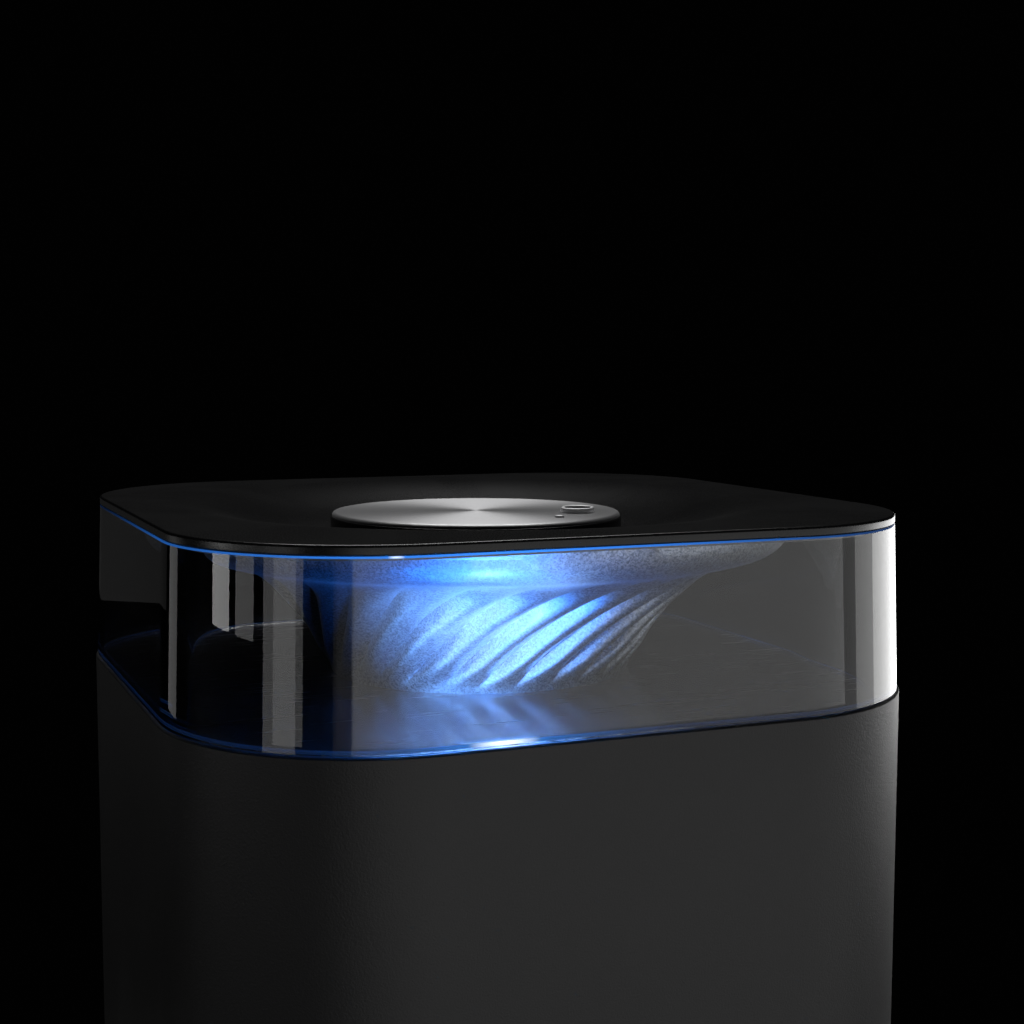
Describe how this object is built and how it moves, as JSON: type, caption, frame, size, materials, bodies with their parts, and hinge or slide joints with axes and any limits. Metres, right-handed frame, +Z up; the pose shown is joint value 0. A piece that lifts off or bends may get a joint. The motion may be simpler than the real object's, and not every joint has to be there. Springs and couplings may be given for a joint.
{
  "type": "cool mist humidifier",
  "caption": "Tabletop ultrasonic cool mist humidifier: rounded-square tower, clear lit band, fluted funnel, dished lift-off lid and a turning disc with the mist outlet.",
  "frame": {"origin": "centre of the footprint at the underside of the feet, on the disc's turning axis", "axes": "+Z up through the disc's axis, -Y out of the front with the buttons, +X to the right seen from the front"},
  "size_m": [0.2, 0.2, 0.3],
  "materials": {
    "body_black": "moulded, very fine stipple, matt",
    "rubber_black": "matt",
    "steel": "plated, slightly dull",
    "clear_acrylic": "polished clear acrylic, 7 mm thick",
    "deck_gloss": "polished, with fine wiping marks",
    "led_window": "frosted light window",
    "circuit_board": "solder mask",
    "funnel_silver": "metallic silver, fine sparkle, satin",
    "lid_satin": "satin",
    "silicone_grey": "smooth silicone",
    "trim_black": "black, semi-gloss",
    "disc_aluminium": "turned, fine circular brush lines",
    "spout_metal": "satin",
    "tank_plastic": "smooth",
    "float_white": "smooth",
    "holder_metal": "machined",
    "piezo_ceramic": "silvered electrode",
    "filter_foam": "open-cell foam",
    "sink_aluminium": "extruded",
    "capacitor_sleeve": "shrink sleeve",
    "copper_coil": "enamelled copper wire",
    "panel_satin": "satin",
    "button_rubber": "smooth"
  },
  "bodies": {
    "root": {"body_shell": "body_black", "base_plate": "body_black", "rubber_feet": "rubber_black", "base_screws": "steel", "clear_band": "clear_acrylic", "inner_deck": "deck_gloss", "led_lens": "led_window", "led_board": "circuit_board", "fluted_funnel": "funnel_silver", "water_reservoir": "tank_plastic", "reservoir_gasket": "silicone_grey", "float_clip": "trim_black", "mist_bell": "tank_plastic", "riser_tube": "tank_plastic", "transducer_holder": "holder_metal", "transducer_disc": "piezo_ceramic", "transducer_seal": "silicone_grey", "transducer_clamp": "holder_metal", "holder_screws": "steel", "fan_frame": "trim_black", "fan_stator": "steel", "fan_screws": "steel", "intake_filter": "filter_foam", "air_duct": "tank_plastic", "driver_board": "circuit_board", "board_screws": "steel", "heat_sink": "sink_aluminium", "capacitors": "capacitor_sleeve", "power_coil": "copper_coil", "dc_jack": "trim_black", "jack_nut": "steel", "control_panel": "panel_satin", "control_board": "circuit_board", "panel_screws": "steel"},
    "lid": {"lid_plate": "lid_satin", "lid_seal": "silicone_grey"},
    "disc": {"disc_hub": "trim_black", "disc_plate": "disc_aluminium", "mist_spout": "spout_metal", "disc_retainer": "trim_black"},
    "float": {"float_ring": "float_white"},
    "fan": {"fan_impeller": "trim_black"},
    "mist_key": {"mist_button": "button_rubber"},
    "light_key": {"light_button": "button_rubber"}
  },
  "joints": [
    {"name": "lid_lift", "type": "slide", "parent": "root", "child": "lid", "axis": [0, 0, 1], "range_m": [0, 0.08]},
    {"name": "disc_turn", "type": "hinge", "parent": "lid", "child": "disc", "pos_m": [0, 0, 0.295], "axis": [0, 0, 1], "continuous": true},
    {"name": "float_rise", "type": "slide", "parent": "root", "child": "float", "axis": [0, 0, 1], "range_m": [0, 0.012]},
    {"name": "fan_spin", "type": "hinge", "parent": "root", "child": "fan", "pos_m": [0, 0.048, 0.022], "axis": [0, 0, 1], "continuous": true},
    {"name": "mist_press", "type": "slide", "parent": "root", "child": "mist_key", "axis": [0, 1, 0], "range_m": [0, 0.0008], "stiffness_N_per_m": 600, "springref_m": -0.0005},
    {"name": "light_press", "type": "slide", "parent": "root", "child": "light_key", "axis": [0, 1, 0], "range_m": [0, 0.0008], "stiffness_N_per_m": 600, "springref_m": -0.0005}
  ]
}
